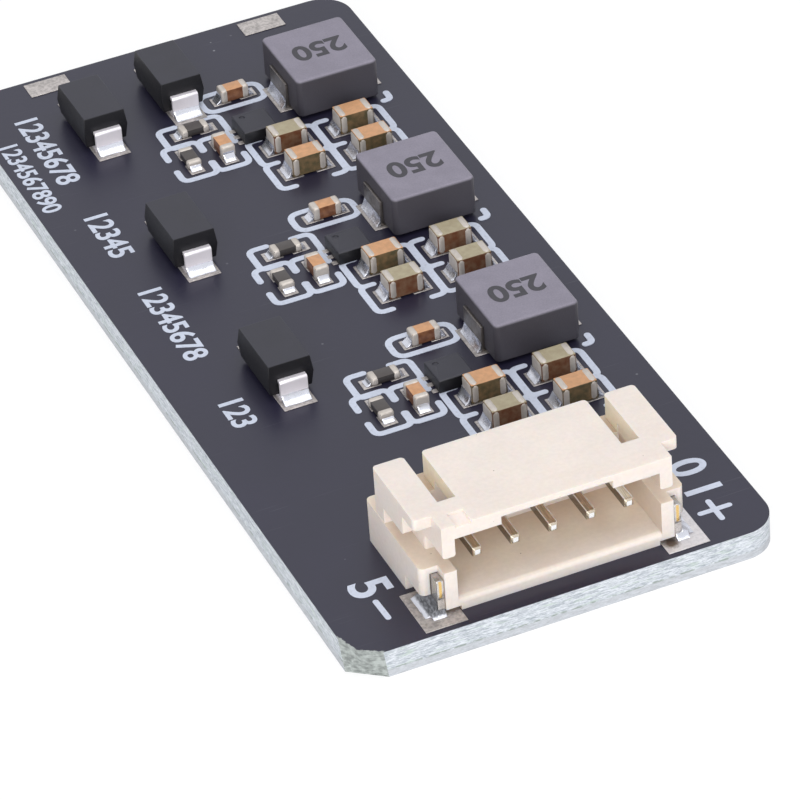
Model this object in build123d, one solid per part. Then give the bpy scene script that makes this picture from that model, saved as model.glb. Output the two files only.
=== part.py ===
from build123d import *
from math import hypot
import os

# Balancer board. Millimetres. The origin is the centre of the board's underside.
# +X runs across the board, +Y along it away from the connector, +Z is up.

# Board
board_width = 22.6
board_thickness = 1.6
board_corner_radius = 1.8
board_end_clearance = 5.725

# Broken corner beside the connector: how far it reaches along each edge, at both faces
break_top_across = 1.5
break_top_along = 2.0
break_bottom_across = 1.7
break_bottom_along = 1.35
break_bulge = 0.3

# Tinned copper pads stand this high above the board
pad_height = 0.05

# Connector housing: places across are from its own centre line
housing_offset = 0.06
housing_setback = 1.15
housing_height = 5.1
shoulder_height = 2.45
shell_end = 2.04
block_wall = 0.5
wing_setback = 0.03
upper_depth = 6.1
base_depth = 7.25
side_wall = 0.66
floor_thickness = 0.7
roof_thickness = 0.8
cavity_depth = 4.6
block_corner_radius = 0.3
block_front = 0.78
wing_front = 1.2
wing_thickness = 0.63
flange_front = 2.6
flange_back = 4.95
flange_height = 0.9
window_height = 0.85
window_depth = 2.15
window_radius = 0.3
roof_slot_width = 0.94
roof_slot_front = 2.05
roof_slot_depth = 1.3
roof_slot_inset = 0.07
upper_corner_radius = 0.22
lip_notch_width = 5.86
lip_notch_height = 0.45
lip_radius = 0.3
post_radius = 0.14
key_pocket_width = 0.85
key_pocket_length = 1.0
key_pocket_depth = 0.16
foot_relief = 0.25
floor_slab_inset = 0.13

# Connector contacts
contact_count = 5
contact_pitch = 2.0
contact_size = 0.5
contact_level = 2.6
contact_tip_setback = 0.6
contact_tip_chamfer = 0.11
contact_bend_radius = 0.45
contact_run_out = 0.75
contact_foot_length = 1.1
contact_hole_clearance = 0.02
contact_pad_width = 1.0
contact_pad_margin = 0.35
contact_solder_toe = 0.3
contact_solder_height = 0.4

# Solder tabs that hold the housing down
tab_thickness = 0.38
tab_length = 2.1
tab_height = 2.05
tab_front = 0.05
tab_edge = 0.06
tab_clearance = 0.03
tab_undercut_height = 0.85
tab_undercut_end = 2.7
tab_pad_width = 2.2
tab_pad_length = 3.2
tab_pad_front = 0.27
tab_pad_gap = 0.06
tab_solder_width = 0.72
tab_solder_height = 0.75
tab_solder_inset = 0.25
tab_solder_toe = 0.35
tab_solder_toe_height = 0.35

# One balancing stage, repeated along the board
stage_count = 3
stage_pitch = 12.7
first_row = 13.85

# Storage capacitors: two rows of two in each stage
storage_length = 2.0
storage_width = 1.25
storage_height = 1.2
storage_row_gap = 1.25
storage_column_gap = 1.85

# Small chip capacitors and resistors
chip_length = 1.6
chip_width = 0.8
chip_height = 0.78
resistor_height = 0.45
end_cap_share = 0.24
end_cap_proud = 0.03
end_cap_chamfer = 0.06
land_inner = 0.15
land_toe = 0.45
fillet_toe = 0.38
fillet_height_share = 0.6
fillet_hollow = 0.36

# Stage controller
controller_size = 1.9
controller_height = 0.75
controller_gap = 0.45
controller_shift = 1.05
controller_edge = 0.06
controller_mark_radius = 0.16
controller_mark_depth = 0.05
controller_mark_inset = 0.45
controller_pad_count = 3
controller_pad_width = 0.3
controller_pad_toe = 0.28
controller_pad_inner = 0.35
controller_pad_pitch = 0.6

# Small chips around the controller
filter_cap_gap = 2.35
filter_cap_shift = 0.25
side_chip_gap = 0.85
side_chip_setback = 0.925
side_chip_spacing = 1.15
cross_chip_gap = 1.3
cross_chip_shift = 0.25

# Moulded inductor
inductor_width = 4.7
inductor_length = 5.1
inductor_height = 2.4
inductor_gap = 1.2
inductor_from_side = 4.5
inductor_corner = 0.3
inductor_edge = 0.12
inductor_strip_thickness = 0.16
inductor_strip_width = 2.2
inductor_strip_rise = 1.5
inductor_strip_foot = 1.0
inductor_pad_toe = 0.45
inductor_pad_width = 2.6

# Diodes
diode_from_side = 5.7
diode_from_row = 9.1
diode_width = 2.5
diode_length = 4.1
diode_height = 2.05
diode_draft = 7.0
diode_lead_thickness = 0.2
diode_lead_width = 1.5
diode_lead_reach = 0.35
diode_lead_foot = 1.1
diode_lead_radius = 0.15
diode_pad_toe = 0.75
diode_pad_width = 1.8
diode_solder_height = 0.45
end_diode_shift = 2.85
end_diode_gap = 0.6

# Test pads at the far end
test_pad_from_side = 5.0
test_pad_width = 2.4
test_pad_length = 1.3
test_pad_from_edge = 0.3

# Worked out from the sizes above
board_top = board_thickness
pad_top = board_top + pad_height
storage_row_pitch = storage_width + storage_row_gap
storage_column_pitch = storage_length + storage_column_gap
inductor_reach = storage_row_pitch + storage_width / 2 + inductor_gap + inductor_length
board_length = first_row + (stage_count - 1) * stage_pitch + inductor_reach + board_end_clearance
near_edge = -board_length / 2
far_edge = board_length / 2
housing_front = near_edge + housing_setback
shell_width = contact_pitch * (contact_count - 1) + 2 * shell_end
cavity_width = shell_width - 2 * side_wall
cavity_roof = housing_height - roof_thickness
tab_inner = shell_width / 2 + tab_clearance
tab_outer = tab_inner + tab_thickness
base_width = 2 * (tab_outer + tab_clearance + block_wall)
wing_width = base_width - 2 * wing_setback
centre_block_width = cavity_width - 2 * (roof_slot_width + roof_slot_inset)
floor_slab_width = cavity_width - 2 * floor_slab_inset
inductor_column = board_width / 2 - inductor_from_side
storage_first_column = inductor_column - storage_column_pitch
second_row = first_row + storage_row_pitch
inductor_row = second_row + storage_width / 2 + inductor_gap + inductor_length / 2
controller_row = second_row + storage_width / 2 + controller_gap + controller_size / 2
controller_column = storage_first_column - controller_shift
side_chip_row = controller_row - side_chip_setback
inner_chip_column = controller_column - controller_size / 2 - side_chip_gap - chip_width / 2
outer_chip_column = inner_chip_column - chip_width - side_chip_spacing
cross_chip_row = side_chip_row + chip_length / 2 + cross_chip_gap + chip_width / 2
cross_chip_column = (inner_chip_column + outer_chip_column) / 2 + cross_chip_shift
filter_cap_row = controller_row + controller_size / 2 + filter_cap_gap + chip_width / 2
filter_cap_column = controller_column + filter_cap_shift
diode_across = diode_from_side - board_width / 2
diode_pad_reach = diode_length / 2 + diode_lead_reach + diode_pad_toe
end_diode_across = filter_cap_column - end_diode_shift
end_diode_row = cross_chip_row - first_row + chip_width / 2 + end_diode_gap + diode_pad_reach
test_pad_across = board_width / 2 - test_pad_from_side


def prism(x_range, y_range, z_range):
    """Rectangular solid between the given limits."""
    size = [high - low for low, high in (x_range, y_range, z_range)]
    corner = Pos(x_range[0], y_range[0], z_range[0])
    return corner * Box(*size, align=(Align.MIN, Align.MIN, Align.MIN))


def plan_solid(outline, bottom, top):
    """Solid raised from a plan outline between two heights."""
    return Pos(0, 0, bottom) * extrude(outline, top - bottom)


def side_cut(points, reach, radius, rounded):
    """Cutter drawn in side view (y, z) and run across the part, some corners rounded."""
    outline = Plane.YZ * make_face(Polyline(*points, close=True))
    corners = [v for v in outline.vertices() if any(hypot(v.Y - y, v.Z - z) < radius / 10 for y, z in rounded)]
    if corners:
        outline = fillet(corners, radius)
    return extrude(outline, reach, both=True)


def mirrored(solid):
    """The solid together with its mirror image across the centre line."""
    return [solid, mirror(solid, Plane.YZ)]


def make_board():
    """Glass-fibre board with rounded corners and one broken corner."""
    outline = Rectangle(board_width, board_length)
    broken = outline.vertices().sort_by(Axis.X)[:2].sort_by(Axis.Y)[0]
    rounded = [v for v in outline.vertices() if v != broken]
    outline = fillet(rounded, board_corner_radius)
    board = extrude(outline, board_thickness)
    return board - corner_break()


def corner_break():
    """Loft that takes the broken corner away, rougher at the top face than below."""
    side = -board_width / 2
    spare = board_corner_radius

    def outline(across, along, bulge, level):
        middle_x = side + across / 2 - bulge
        middle_y = near_edge + along / 2 - bulge
        points = [
            (side, near_edge + along),
            (middle_x, middle_y),
            (side + across, near_edge),
            (side + across, near_edge - spare),
            (side - spare, near_edge - spare),
            (side - spare, near_edge + along),
        ]
        return Pos(0, 0, level) * make_face(Polyline(*points, close=True))

    lower = outline(break_bottom_across, break_bottom_along, 0.0, 0.0)
    upper = outline(break_top_across, break_top_along, break_bulge, board_thickness)
    return loft([lower, upper])


def housing_base():
    """Lower half of the housing: pillars in front, solder-tab blocks at the sides."""
    points = [
        (0, 0),
        (shell_width / 2, 0),
        (shell_width / 2, block_front),
        (base_width / 2, block_front),
        (base_width / 2, base_depth),
        (cavity_width / 2, base_depth),
        (cavity_width / 2, upper_depth),
        (0, upper_depth),
    ]
    half = make_face(Polyline(*points, close=True))
    corners = [v for v in half.vertices() if v.X > shell_width / 2 + tab_thickness]
    half = fillet(corners, block_corner_radius)
    return plan_solid(half + mirror(half, Plane.YZ), 0, shoulder_height)


def housing_top():
    """Upper half of the housing: the shell with a wing on either side."""
    points = [
        (0, 0),
        (shell_width / 2, 0),
        (shell_width / 2, wing_front),
        (wing_width / 2, wing_front),
        (wing_width / 2, upper_depth),
        (0, upper_depth),
    ]
    half = make_face(Polyline(*points, close=True))
    corners = [v for v in half.vertices() if v.X > shell_width / 2 + tab_thickness]
    half = fillet(corners, upper_corner_radius)
    return plan_solid(half + mirror(half, Plane.YZ), shoulder_height, housing_height)


def wing_reliefs():
    """Space under the wings, deeper in front of the flange, on both sides."""
    wing_floor = housing_height - wing_thickness
    flange_floor = shoulder_height + flange_height
    points = [
        (-cavity_depth, shoulder_height),
        (flange_back, shoulder_height),
        (flange_back, flange_floor),
        (flange_front, flange_floor),
        (flange_front, wing_floor),
        (-cavity_depth, wing_floor),
    ]
    relief = side_cut(points, wing_width, window_radius / 2, [(flange_front, flange_floor)])
    outside = prism((shell_width / 2, wing_width), (-cavity_depth, base_depth), (0, housing_height))
    return mirrored(relief & outside)


def side_windows():
    """Openings through both side walls above the shoulder, open to the front."""
    top = shoulder_height + window_height
    points = [
        (-cavity_depth, shoulder_height),
        (window_depth, shoulder_height),
        (window_depth, top),
        (-cavity_depth, top),
    ]
    return side_cut(points, base_width, window_radius, [(window_depth, top)])


def roof_slots():
    """Two slots in the roof, open to the rear and into the cavity."""
    inner = centre_block_width / 2
    points = [
        (inner, roof_slot_front),
        (inner + roof_slot_width, roof_slot_front),
        (inner + roof_slot_width, base_depth),
        (inner, base_depth),
    ]
    outline = make_face(Polyline(*points, close=True))
    return mirrored(plan_solid(outline, housing_height - roof_slot_depth, housing_height + roof_slot_depth))


def tab_slots():
    """Slits for the solder tabs, the undercut over their solder and the pillars' relief, on both sides."""
    slit = prism(
        (shell_width / 2, tab_outer + tab_clearance),
        (-block_front, tab_front + tab_length + tab_clearance),
        (-foot_relief, tab_height + tab_clearance),
    )
    undercut = prism(
        (shell_width / 2, base_width),
        (-block_front, tab_undercut_end),
        (-foot_relief, tab_undercut_height),
    )
    relief = prism(
        (floor_slab_width / 2, base_width),
        (-block_front, tab_undercut_end),
        (-foot_relief, foot_relief),
    )
    return mirrored(slit) + mirrored(undercut) + mirrored(relief)


def contact_holes():
    """Square holes in the rear wall, one for each contact."""
    size = contact_size + 2 * contact_hole_clearance
    hole = Rot(-90, 0, 0) * extrude(Rectangle(size, size), upper_depth)
    return [Pos(x, cavity_depth - contact_size, contact_level) * hole for x in contact_columns()]


def contact_columns():
    """Place of each contact across the housing, from its centre line."""
    first = -contact_pitch * (contact_count - 1) / 2
    return [first + contact_pitch * i for i in range(contact_count)]


def make_housing():
    """Moulded shrouded housing, one solid, with its mating cavity open to the front."""
    half_cavity = cavity_width / 2
    half_notch = lip_notch_width / 2
    cavity = prism((-half_cavity, half_cavity), (-cavity_depth, cavity_depth), (floor_thickness, cavity_roof))
    groove_roof = cavity_roof + lip_notch_height
    groove = prism((-half_notch, half_notch), (-cavity_depth, cavity_depth), (floor_thickness, groove_roof))
    key_outer = -centre_block_width / 2 - roof_slot_width
    pocket = prism(
        (key_outer, key_outer + key_pocket_width),
        (-key_pocket_length, key_pocket_length),
        (housing_height - key_pocket_depth, housing_height + key_pocket_depth),
    )
    housing = housing_base() + housing_top()
    housing = housing - cavity - groove - pocket - side_windows()
    housing = housing - wing_reliefs() - roof_slots() - tab_slots() - contact_holes()
    housing = soften_housing(housing.solid())
    return Pos(housing_offset, housing_front, board_top) * housing


def soften_housing(housing):
    """Rounds the floor's front lip, the post ends and the rear corners beside the roof slots."""
    edges = housing.edges()
    lip = [e for e in edges.filter_by(Axis.X) if at(e, y=0, z=floor_thickness)]
    housing = fillet(lip, lip_radius)
    window_top = shoulder_height + window_height
    posts = [e for e in housing.edges().filter_by(Axis.Y) if at(e, z=window_top) and e.center().Y < window_depth]
    housing = fillet(posts, post_radius)
    slot_sides = (centre_block_width / 2, centre_block_width / 2 + roof_slot_width)
    rear = [
        e
        for e in housing.edges().filter_by(Axis.Z)
        if at(e, y=upper_depth) and any(abs(abs(e.center().X) - side) < post_radius for side in slot_sides)
    ]
    return fillet(rear, upper_corner_radius)


def at(edge, y=None, z=None):
    """Whether an edge's middle lies at the given place."""
    middle = edge.center()
    near = contact_hole_clearance / 2
    return (y is None or abs(middle.Y - y) < near) and (z is None or abs(middle.Z - z) < near)


def contact_path():
    """Centre line of a contact in side view: in the cavity, out of the rear, down to its pad."""
    foot_level = pad_height + contact_size / 2
    bend = upper_depth + contact_run_out
    return [
        (0, contact_tip_setback, contact_level),
        (0, bend, contact_level),
        (0, bend, foot_level),
        (0, bend + contact_foot_length, foot_level),
    ]


def make_contact(column):
    """Square contact pin with a chamfered tip and a bent tail."""
    points = contact_path()
    path = FilletPolyline(*points, radius=contact_bend_radius)
    section = Plane(origin=points[0], x_dir=(1, 0, 0), z_dir=(0, 1, 0)) * Rectangle(contact_size, contact_size)
    pin = sweep(section, path)
    tip = pin.faces().sort_by(Axis.Y)[0]
    pin = chamfer(tip.edges(), contact_tip_chamfer)
    return Pos(housing_offset + column, housing_front, board_top) * pin


def make_tab():
    """Solder tab for the right side: an upright plate standing on its pad."""
    plate = prism(
        (tab_inner, tab_outer),
        (tab_front, tab_front + tab_length),
        (pad_height, tab_height),
    )
    top = plate.faces().sort_by(Axis.Z)[-1].edges().filter_by(Axis.X)
    return chamfer(top, tab_edge)


def concave_fillet(width, height, length):
    """Solder fillet: hollow-faced wedge, upright side at x = 0, its foot running to x = width."""
    lean = ThreePointArc((width, 0), (width * fillet_hollow, height * fillet_hollow), (0, height))
    outline = make_face([Line((0, 0), (width, 0)), lean, Line((0, height), (0, 0))])
    return Rot(90, 0, 0) * extrude(outline, length)


def make_tab_solder():
    """Solder along the outer face of the right-hand tab and round its front."""
    length = tab_length - tab_solder_inset
    side = concave_fillet(tab_solder_width, tab_solder_height, length)
    side = Pos(tab_outer, tab_front + length, pad_height) * side
    across = tab_thickness + tab_solder_width / 2
    toe = Rot(0, 0, -90) * concave_fillet(tab_solder_toe, tab_solder_toe_height, across)
    return side + Pos(tab_inner + across, tab_front, pad_height) * toe


def place_side(solid, side):
    """Puts a right-hand connector piece on its side of the housing."""
    placed = solid if side > 0 else mirror(solid, Plane.YZ)
    return Pos(housing_offset, housing_front, board_top) * placed


def pad(x_range, y_range):
    """Tinned pad on the board."""
    return prism(x_range, y_range, (board_top, pad_top))


def connector_pads():
    """Pads under the solder tabs and the contact tails."""
    inner = floor_slab_width / 2 + tab_pad_gap
    front = near_edge + tab_pad_front
    pads = []
    for side in (-1, 1):
        edges = sorted(housing_offset + side * x for x in (inner, inner + tab_pad_width))
        pads.append(pad(edges, (front, front + tab_pad_length)))
    bend = housing_front + upper_depth + contact_run_out
    rear = (bend - contact_size / 2 - contact_pad_margin, bend + contact_foot_length + contact_pad_margin)
    for column in contact_columns():
        middle = housing_offset + column
        pads.append(pad((middle - contact_pad_width / 2, middle + contact_pad_width / 2), rear))
    return pads


def chip_solid(length, width, height):
    """Chip component along X: ceramic body with slightly larger end caps."""
    proud = end_cap_proud
    cap_length = length * end_cap_share
    body = prism((-length / 2, length / 2), (-width / 2 + proud, width / 2 - proud), (proud, height - proud))
    chip = body
    for side in (-1, 1):
        ends = sorted((side * length / 2, side * (length / 2 - cap_length)))
        cap = prism(ends, (-width / 2, width / 2), (0, height))
        outer = cap.faces().sort_by(Axis.X)[-1 if side > 0 else 0]
        chip = chip + chamfer(outer.edges(), end_cap_chamfer)
    return chip


def chip_lands(length, width):
    """The two pads under a chip that lies along X."""
    inner = length / 2 - length * end_cap_share - land_inner
    outer = length / 2 + land_toe
    half = width / 2
    return [prism(sorted((side * inner, side * outer)), (-half, half), (0, pad_height)) for side in (-1, 1)]


def chip_solder(length, width, height):
    """Solder fillets at both ends of a chip that lies along X."""
    wedge = concave_fillet(fillet_toe, height * fillet_height_share, width - 2 * end_cap_chamfer)
    right = Pos(length / 2, width / 2 - end_cap_chamfer, pad_height) * wedge
    return mirrored(right)


def stage_chips():
    """Every chip of one stage: name, size, place from the first row, and turn."""
    storage = (storage_length, storage_width, storage_height)
    small = (chip_length, chip_width, chip_height)
    resistor = (chip_length, chip_width, resistor_height)
    chips = []
    for row in range(2):
        for column in range(2):
            x = storage_first_column + column * storage_column_pitch
            name = "storage_capacitor_" + "abcd"[2 * row + column]
            chips.append((name, storage, x, row * storage_row_pitch, 0))
    chips.append(("filter_capacitor", small, filter_cap_column, filter_cap_row - first_row, 0))
    chips.append(("sense_capacitor", small, inner_chip_column, side_chip_row - first_row, 90))
    chips.append(("sense_resistor", resistor, outer_chip_column, side_chip_row - first_row, 90))
    chips.append(("gate_resistor", resistor, cross_chip_column, cross_chip_row - first_row, 0))
    return chips


def stage_origin(stage):
    """Place along the board of a stage's first capacitor row."""
    return near_edge + first_row + stage * stage_pitch


def make_controller():
    """Leadless controller with a shallow mark at its first terminal."""
    half = controller_size / 2
    body = prism((-half, half), (-half, half), (pad_height, pad_height + controller_height))
    top = body.faces().sort_by(Axis.Z)[-1]
    body = chamfer(top.edges(), controller_edge)
    spot = half - controller_mark_inset
    level = pad_height + controller_height - controller_mark_depth
    mark = Pos(-spot, spot, level) * extrude(Circle(controller_mark_radius), controller_height)
    return body - mark


def controller_lands():
    """Rows of pads down both sides of the controller."""
    lands = []
    first = -controller_pad_pitch * (controller_pad_count - 1) / 2
    for side in (-1, 1):
        edge = side * controller_size / 2
        limits = sorted((edge - side * controller_pad_inner, edge + side * controller_pad_toe))
        for i in range(controller_pad_count):
            y = first + i * controller_pad_pitch
            lands.append(prism(limits, (y - controller_pad_width / 2, y + controller_pad_width / 2), (0, pad_height)))
    return lands


def make_inductor_core():
    """Pressed block round the winding, with rounded upright corners."""
    outline = RectangleRounded(inductor_width, inductor_length, inductor_corner)
    bottom = pad_height + inductor_strip_thickness
    core = plan_solid(outline, bottom, pad_height + inductor_height)
    top = core.faces().sort_by(Axis.Z)[-1]
    return chamfer(top.edges(), inductor_edge)


def make_inductor_terminals():
    """Two strips, each down one side of the block and folded under it."""
    half = inductor_width / 2
    t = inductor_strip_thickness
    points = [
        (half - inductor_strip_foot, pad_height),
        (half + t, pad_height),
        (half + t, pad_height + inductor_strip_rise),
        (half, pad_height + inductor_strip_rise),
        (half, pad_height + t),
        (half - inductor_strip_foot, pad_height + t),
    ]
    outline = Plane.XZ * make_face(Polyline(*points, close=True))
    strip = extrude(outline, inductor_strip_width / 2, both=True)
    heel = [e for e in strip.edges().filter_by(Axis.Y) if at_corner(e, half + t, pad_height)]
    strip = fillet(heel, t)
    return mirrored(strip)


def at_corner(edge, x, z):
    """Whether an edge's middle lies at a place in front view."""
    return hypot(edge.center().X - x, edge.center().Z - z) < contact_hole_clearance


def inductor_lands():
    """Pads under both inductor terminals."""
    half = inductor_width / 2 + inductor_strip_thickness
    across = (half - inductor_strip_foot, half + inductor_pad_toe)
    along = (-inductor_pad_width / 2, inductor_pad_width / 2)
    return [prism(sorted((side * across[0], side * across[1])), along, (0, pad_height)) for side in (-1, 1)]


def inductor_solder():
    """Solder against both inductor terminals."""
    half = inductor_width / 2 + inductor_strip_thickness
    wedge = concave_fillet(inductor_pad_toe - land_inner, inductor_strip_rise / 2, inductor_strip_width)
    return mirrored(Pos(half, inductor_strip_width / 2, pad_height) * wedge)


def make_diode_body():
    """Moulded body along Y, drafted both ways from its parting line."""
    bottom = pad_height + diode_lead_thickness
    height = diode_height - bottom
    outline = Rectangle(diode_width, diode_length)
    upper = extrude(outline, height / 2, taper=diode_draft)
    lower = mirror(upper, Plane.XY)
    return Pos(0, 0, bottom + height / 2) * (upper + lower)


def make_diode_leads(body):
    """Two leads out of the parting line, down each end and folded under the body."""
    t = diode_lead_thickness
    bottom = pad_height + t
    middle = (bottom + diode_height) / 2
    outer = diode_length / 2 + diode_lead_reach
    points = [
        (diode_length / 2 - diode_lead_foot, pad_height),
        (outer, pad_height),
        (outer, middle + t / 2),
        (diode_length / 2 - t, middle + t / 2),
        (diode_length / 2 - t, middle - t / 2),
        (outer - t, middle - t / 2),
        (outer - t, bottom),
        (diode_length / 2 - diode_lead_foot, bottom),
    ]
    outline = Plane.YZ * make_face(Polyline(*points, close=True))
    lead = extrude(outline, diode_lead_width / 2, both=True)
    bends = [e for e in lead.edges().filter_by(Axis.X) if abs(e.center().Y - outer) < t / 10]
    lead = fillet(bends, diode_lead_radius)
    leads = [lead, mirror(lead, Plane.XZ)]
    return [(piece - body).solids().sort_by(SortBy.VOLUME)[-1] for piece in leads]


def diode_lands():
    """Pads under both diode leads."""
    inner = diode_length / 2 - diode_lead_foot
    across = (-diode_pad_width / 2, diode_pad_width / 2)
    return [prism(across, sorted((side * inner, side * diode_pad_reach)), (0, pad_height)) for side in (-1, 1)]


def diode_solder():
    """Solder against the upright of both diode leads."""
    outer = diode_length / 2 + diode_lead_reach
    wedge = concave_fillet(diode_pad_toe - land_inner, diode_solder_height, diode_lead_width)
    wedge = Rot(0, 0, 90) * Pos(0, diode_lead_width / 2, 0) * wedge
    front = Pos(0, outer, pad_height) * wedge
    return [front, mirror(front, Plane.XZ)]


def diode_places():
    """Centre of each diode: one beside each stage and one past the last stage's chips."""
    places = [(diode_across, stage_origin(stage) + diode_from_row) for stage in range(stage_count)]
    return places + [(end_diode_across, stage_origin(stage_count - 1) + end_diode_row)]


def test_pads():
    """Pads for the end leads, beside the far edge."""
    rear = far_edge - test_pad_from_edge
    pads = []
    for side in (-1, 1):
        middle = side * test_pad_across
        across = (middle - test_pad_width / 2, middle + test_pad_width / 2)
        pads.append(pad(across, (rear - test_pad_length, rear)))
    return pads


def contact_solder():
    """Solder behind each contact's foot."""
    end = housing_front + upper_depth + contact_run_out + contact_foot_length
    wedge = concave_fillet(contact_solder_toe, contact_solder_height, contact_size)
    wedge = Rot(0, 0, 90) * Pos(0, contact_size / 2, 0) * wedge
    return [Pos(housing_offset + column, end, pad_top) * wedge for column in contact_columns()]


def save(name, shape):
    """Writes one node."""
    solids = shape if isinstance(shape, list) else [shape]
    flat = [s for item in solids for s in item.solids()]
    node = flat[0] if len(flat) == 1 else Compound(children=flat)
    export_step(node, f"parts/{name}.step")


def save_connector():
    """Housing, contacts, tabs and their solder."""
    save("connector_housing", make_housing())
    for number, column in enumerate(contact_columns(), 1):
        save(f"contact_pin_{number}", make_contact(column))
    for name, side in (("left", -1), ("right", 1)):
        save(f"solder_tab_{name}", place_side(make_tab(), side))
        save(f"tab_solder_{name}", place_side(make_tab_solder(), side))
    save("contact_solder", contact_solder())


def save_stages():
    """Every piece of the stages, and the pads they stand on."""
    lands = []
    for stage in range(stage_count):
        solder = []
        number = stage + 1
        origin = stage_origin(stage)
        for name, (length, width, height), x, y, turn in stage_chips():
            place = Pos(x, origin + y, board_top) * Rot(0, 0, turn)
            save(f"{name}_{number}", place * Pos(0, 0, pad_height) * chip_solid(length, width, height))
            lands += [place * land for land in chip_lands(length, width)]
            solder += [place * wedge for wedge in chip_solder(length, width, height)]
        place = Pos(controller_column, near_edge + controller_row + stage * stage_pitch, board_top)
        save(f"controller_{number}", place * make_controller())
        lands += [place * land for land in controller_lands()]
        place = Pos(inductor_column, near_edge + inductor_row + stage * stage_pitch, board_top)
        save(f"inductor_core_{number}", place * make_inductor_core())
        save(f"inductor_terminals_{number}", [place * strip for strip in make_inductor_terminals()])
        lands += [place * land for land in inductor_lands()]
        solder += [place * wedge for wedge in inductor_solder()]
        save(f"stage_solder_{number}", solder)
    return lands


def save_diodes():
    """Diode bodies and leads, and the pads they stand on."""
    lands = []
    solder = []
    body = make_diode_body()
    leads = make_diode_leads(body)
    for number, (x, y) in enumerate(diode_places(), 1):
        place = Pos(x, y, board_top)
        save(f"diode_body_{number}", place * body)
        save(f"diode_leads_{number}", [place * lead for lead in leads])
        lands += [place * land for land in diode_lands()]
        solder += [place * wedge for wedge in diode_solder()]
    save("diode_solder", solder)
    return lands


os.makedirs("parts", exist_ok=True)
save("board", make_board())
save_connector()
save("tinned_pads", connector_pads() + save_stages() + save_diodes() + test_pads())
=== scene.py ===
"""Finish of a balancer board: surfaces, print, solder, soft edges, studio and camera."""
import math
from functools import cached_property, partial

import bmesh
import bpy
from mathutils import Matrix, Vector, noise


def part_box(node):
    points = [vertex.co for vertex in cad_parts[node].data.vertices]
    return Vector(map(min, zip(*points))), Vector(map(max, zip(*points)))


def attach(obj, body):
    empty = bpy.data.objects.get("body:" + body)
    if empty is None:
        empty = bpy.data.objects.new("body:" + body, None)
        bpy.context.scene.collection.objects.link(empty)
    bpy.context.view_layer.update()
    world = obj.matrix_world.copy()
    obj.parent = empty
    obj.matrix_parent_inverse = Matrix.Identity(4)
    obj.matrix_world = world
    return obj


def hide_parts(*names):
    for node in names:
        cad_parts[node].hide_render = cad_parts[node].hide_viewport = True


bl_info = {
    "name": "Balancer Board Finish",
    "version": (1, 0, 0),
    "blender": (4, 5, 0),
    "location": "View3D > Sidebar > Board",
    "description": "Dresses the packed circuit board: materials, print, solder and studio",
    "category": "Object",
}

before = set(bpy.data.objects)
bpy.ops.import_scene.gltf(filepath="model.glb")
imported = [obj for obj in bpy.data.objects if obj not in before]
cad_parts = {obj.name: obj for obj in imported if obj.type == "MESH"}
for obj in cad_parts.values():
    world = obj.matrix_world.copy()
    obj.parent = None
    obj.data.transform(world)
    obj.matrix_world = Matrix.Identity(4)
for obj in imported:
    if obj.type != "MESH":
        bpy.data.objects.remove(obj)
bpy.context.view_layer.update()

MM = 0.001
MERGE_DISTANCE = 0.002 * MM
FLAT_ANGLE = math.radians(1.0)
SHARP_ANGLE = math.radians(30.0)
SMOOTH_ANGLE = math.radians(40.0)


def paint(red, green, blue):
    """Linear colour of a screen colour given from 0 to 255."""
    def linear(level):
        share = level / 255
        return share / 12.92 if share <= 0.04045 else ((share + 0.055) / 1.055) ** 2.4
    return (linear(red), linear(green), linear(blue), 1.0)


def colour_value(name, description, *levels):
    """Colour setting, given from 0 to 255."""
    return bpy.props.FloatVectorProperty(
        name=name, description=description, subtype="COLOR", size=4, min=0.0, max=1.0, default=paint(*levels))


def length_value(name, description, millimetres):
    """Length setting, given in millimetres and kept in metres."""
    return bpy.props.FloatProperty(
        name=name, description=description, unit="LENGTH", precision=6, min=0.0, default=millimetres * MM)


def angle_value(name, description, degrees):
    """Angle setting, given in degrees."""
    return bpy.props.FloatProperty(
        name=name, description=description, subtype="ANGLE", default=math.radians(degrees))


def share_value(name, description, share):
    """Setting from 0 to 1."""
    return bpy.props.FloatProperty(
        name=name, description=description, subtype="FACTOR", min=0.0, max=1.0, default=share)


class BoardFinish(bpy.types.PropertyGroup):
    """Solder mask, laminate, pads and ink."""
    mask_colour: colour_value("Mask", "Colour of the solder mask", 34, 32, 50)
    mask_roughness: share_value("Mask roughness", "How dull the solder mask is", 0.34)
    laminate_colour: colour_value("Laminate", "Light glass fibre at the cut edges", 225, 229, 235)
    laminate_shade: colour_value("Laminate shade", "Dark glass fibre at the cut edges", 150, 159, 168)
    laminate_green: colour_value("Laminate tint", "Resin tint at the cut edges", 188, 204, 192)
    break_colour: colour_value("Broken corner", "Torn glass fibre at the broken corner", 170, 176, 173)
    break_ragged: length_value("Break raggedness", "How far the mask's torn edge wanders", 0.3)
    pad_colour: colour_value("Pads", "Dull tin on the pads", 199, 192, 188)
    # The bright pad colour is a painted sheen about the foot of the right tab.
    pad_bright: colour_value("Bright pad", "Fresher tin on the pad under the right tab", 236, 233, 236)
    flux_colour: colour_value("Flux", "Dried flux beside the right tab", 88, 66, 50)
    pad_edge: length_value("Pad edge", "Rounding of the pads' edges", 0.015)
    ink_colour: colour_value("Ink", "Colour of the printed lines", 207, 214, 231)
    ink_width: length_value("Ink width", "Width of the printed outlines", 0.36)
    sign_width: length_value("Sign width", "Width of the strokes of the printed signs", 0.3)
    ink_thickness: length_value("Ink thickness", "How far the ink stands up", 0.018)
    ink_step: length_value("Ink step", "How much higher each printed line lies than the one before", 0.0008)


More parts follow.
